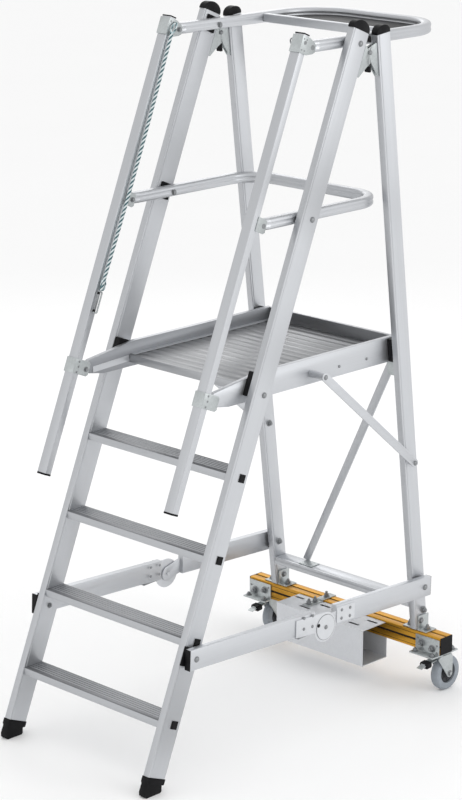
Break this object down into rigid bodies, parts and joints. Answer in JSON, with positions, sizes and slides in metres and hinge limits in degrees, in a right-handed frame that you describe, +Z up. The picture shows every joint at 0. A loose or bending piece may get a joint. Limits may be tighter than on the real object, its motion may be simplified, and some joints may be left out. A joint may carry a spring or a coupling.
{
  "type": "rolling warehouse ladder",
  "caption": "Folding platform step ladder with guard rails, hinged side stays, a ballast box and a castored rear beam.",
  "frame": {"origin": "on the floor, at the middle of the ladder's footprint box", "axes": "+Z up; +Y from the climbing side towards the casters; +X to the right of a person facing the treads"},
  "size_m": [0.881, 1.42, 2.2677],
  "materials": {
    "aluminium": "satin mill finish",
    "galvanised_steel": "dull zinc plate",
    "gold_anodised": "gold anodised, satin",
    "black_plastic": "moulded, fine grain",
    "grey_rubber": "smooth non-marking tread",
    "rope_fibre": "braided"
  },
  "bodies": {
    "front_frame": {"front_stile_left": "aluminium", "front_foot_left": "black_plastic", "front_cap_left": "black_plastic", "top_hinge_front_left": "galvanised_steel", "front_stile_right": "aluminium", "front_foot_right": "black_plastic", "front_cap_right": "black_plastic", "top_hinge_front_right": "galvanised_steel", "tread_1": "aluminium", "tread_2": "aluminium", "tread_3": "aluminium", "tread_4": "aluminium"},
    "rear_frame": {"rear_leg_left": "aluminium", "top_hinge_rear_left": "galvanised_steel", "leg_bracket_left": "galvanised_steel", "caster_bracket_left": "galvanised_steel", "rear_leg_right": "aluminium", "top_hinge_rear_right": "galvanised_steel", "leg_bracket_right": "galvanised_steel", "caster_bracket_right": "galvanised_steel", "rear_crossbar": "aluminium", "rear_brace": "aluminium", "brace_bracket": "galvanised_steel", "caster_beam": "gold_anodised", "ballast_box": "galvanised_steel", "box_strap": "galvanised_steel"},
    "platform": {"platform_deck": "aluminium", "platform_rail_left": "aluminium", "platform_rail_right": "aluminium", "platform_rear_board": "aluminium"},
    "top_rail": {"top_guard_rail": "aluminium", "rail_cross_tube": "aluminium", "tool_tray": "black_plastic"},
    "knee_rail": {"knee_guard_rail": "aluminium"},
    "post_left": {"handrail_post_left": "aluminium", "post_top_bracket_left": "galvanised_steel", "post_knee_bracket_left": "galvanised_steel", "post_deck_bracket_left": "galvanised_steel", "safety_rope": "rope_fibre", "snap_hook": "galvanised_steel"},
    "strut_left": {"platform_strut_left": "aluminium"},
    "stay_front_left": {"stay_front_left": "aluminium", "stay_hinge_plate_left": "galvanised_steel"},
    "stay_rear_left": {"stay_rear_left": "aluminium"},
    "stay_release_left": {"stay_release_left": "galvanised_steel"},
    "caster_fork_left": {"caster_fork_left": "galvanised_steel"},
    "caster_wheel_left": {"caster_wheel_left": "grey_rubber"},
    "brake_pedal_left": {"brake_pedal_left": "black_plastic"},
    "post_right": {"handrail_post_right": "aluminium", "post_top_bracket_right": "galvanised_steel", "post_knee_bracket_right": "galvanised_steel", "post_deck_bracket_right": "galvanised_steel"},
    "strut_right": {"platform_strut_right": "aluminium"},
    "stay_front_right": {"stay_front_right": "aluminium", "stay_hinge_plate_right": "galvanised_steel"},
    "stay_rear_right": {"stay_rear_right": "aluminium"},
    "stay_release_right": {"stay_release_right": "galvanised_steel"},
    "caster_fork_right": {"caster_fork_right": "galvanised_steel"},
    "caster_wheel_right": {"caster_wheel_right": "grey_rubber"},
    "brake_pedal_right": {"brake_pedal_right": "black_plastic"}
  },
  "joints": [
    {"name": "rear_frame_fold", "type": "hinge", "parent": "front_frame", "child": "rear_frame", "pos_m": [0, 0.2706, 2.1634], "axis": [-1, 0, 0], "range_deg": [0, 21.5]},
    {"name": "platform_fold", "type": "hinge", "parent": "front_frame", "child": "platform", "pos_m": [0, -0.19236, 1.167], "axis": [1, 0, 0], "range_deg": [0, 56.04]},
    {"name": "top_rail_fold", "type": "hinge", "parent": "front_frame", "child": "top_rail", "pos_m": [0, 0.22716, 2.195], "axis": [1, 0, 0], "range_deg": [0, 56.04]},
    {"name": "knee_rail_fold", "type": "hinge", "parent": "front_frame", "child": "knee_rail", "pos_m": [0, 0.017, 1.68], "axis": [1, 0, 0], "range_deg": [0, 56.04]},
    {"name": "post_fold_left", "type": "hinge", "parent": "platform", "child": "post_left", "pos_m": [-0.2855, -0.37936, 1.1715], "axis": [-1, 0, 0], "range_deg": [0, 56.04]},
    {"name": "strut_fold_left", "type": "hinge", "parent": "platform", "child": "strut_left", "pos_m": [-0.34, 0.065, 1.176], "axis": [-1, 0, 0], "range_deg": [0, 101.09]},
    {"name": "stay_front_fold_left", "type": "hinge", "parent": "front_frame", "child": "stay_front_left", "pos_m": [-0.3495, -0.51431, 0.406], "axis": [1, 0, 0], "range_deg": [0, 59.22]},
    {"name": "stay_knee_left", "type": "hinge", "parent": "stay_front_left", "child": "stay_rear_left", "pos_m": [-0.3565, 0.06, 0.355], "axis": [-1, 0, 0], "range_deg": [0, 143.73]},
    {"name": "stay_release_tilt_left", "type": "hinge", "parent": "stay_front_left", "child": "stay_release_left", "pos_m": [-0.352, 0.00662, 0.34759], "axis": [1, 0, 0], "range_deg": [0, 8], "stiffness_Nm_per_rad": 0.4},
    {"name": "caster_swivel_left", "type": "hinge", "parent": "rear_frame", "child": "caster_fork_left", "pos_m": [-0.365, 0.577, 0.1], "axis": [0, 0, 1], "continuous": true},
    {"name": "caster_roll_left", "type": "hinge", "parent": "caster_fork_left", "child": "caster_wheel_left", "pos_m": [-0.365, 0.605, 0.06], "axis": [1, 0, 0], "continuous": true},
    {"name": "brake_tilt_left", "type": "hinge", "parent": "caster_fork_left", "child": "brake_pedal_left", "pos_m": [-0.365, 0.5445, 0.1205], "axis": [1, 0, 0], "range_deg": [0, 12]},
    {"name": "post_fold_right", "type": "hinge", "parent": "platform", "child": "post_right", "pos_m": [0.2855, -0.37936, 1.1715], "axis": [-1, 0, 0], "range_deg": [0, 56.04]},
    {"name": "strut_fold_right", "type": "hinge", "parent": "platform", "child": "strut_right", "pos_m": [0.34, 0.065, 1.176], "axis": [-1, 0, 0], "range_deg": [0, 101.09]},
    {"name": "stay_front_fold_right", "type": "hinge", "parent": "front_frame", "child": "stay_front_right", "pos_m": [0.3495, -0.51431, 0.406], "axis": [1, 0, 0], "range_deg": [0, 59.22]},
    {"name": "stay_knee_right", "type": "hinge", "parent": "stay_front_right", "child": "stay_rear_right", "pos_m": [0.3565, 0.06, 0.355], "axis": [-1, 0, 0], "range_deg": [0, 143.73]},
    {"name": "stay_release_tilt_right", "type": "hinge", "parent": "stay_front_right", "child": "stay_release_right", "pos_m": [0.352, 0.00662, 0.34759], "axis": [1, 0, 0], "range_deg": [0, 8], "stiffness_Nm_per_rad": 0.4},
    {"name": "caster_swivel_right", "type": "hinge", "parent": "rear_frame", "child": "caster_fork_right", "pos_m": [0.413, 0.577, 0.1], "axis": [0, 0, 1], "continuous": true},
    {"name": "caster_roll_right", "type": "hinge", "parent": "caster_fork_right", "child": "caster_wheel_right", "pos_m": [0.413, 0.605, 0.06], "axis": [1, 0, 0], "continuous": true},
    {"name": "brake_tilt_right", "type": "hinge", "parent": "caster_fork_right", "child": "brake_pedal_right", "pos_m": [0.413, 0.5445, 0.1205], "axis": [1, 0, 0], "range_deg": [0, 12]}
  ],
  "couplings": [
    {"joint": "platform_fold", "follows": "rear_frame_fold", "ratio": 2.6065},
    {"joint": "top_rail_fold", "follows": "rear_frame_fold", "ratio": 2.6065},
    {"joint": "knee_rail_fold", "follows": "rear_frame_fold", "ratio": 2.6065},
    {"joint": "post_fold_left", "follows": "rear_frame_fold", "ratio": 2.6065},
    {"joint": "strut_fold_left", "follows": "rear_frame_fold", "ratio": 4.7018},
    {"joint": "stay_front_fold_left", "follows": "rear_frame_fold", "ratio": 2.7544},
    {"joint": "stay_knee_left", "follows": "rear_frame_fold", "ratio": 6.6851},
    {"joint": "post_fold_right", "follows": "rear_frame_fold", "ratio": 2.6065},
    {"joint": "strut_fold_right", "follows": "rear_frame_fold", "ratio": 4.7018},
    {"joint": "stay_front_fold_right", "follows": "rear_frame_fold", "ratio": 2.7544},
    {"joint": "stay_knee_right", "follows": "rear_frame_fold", "ratio": 6.6851}
  ]
}
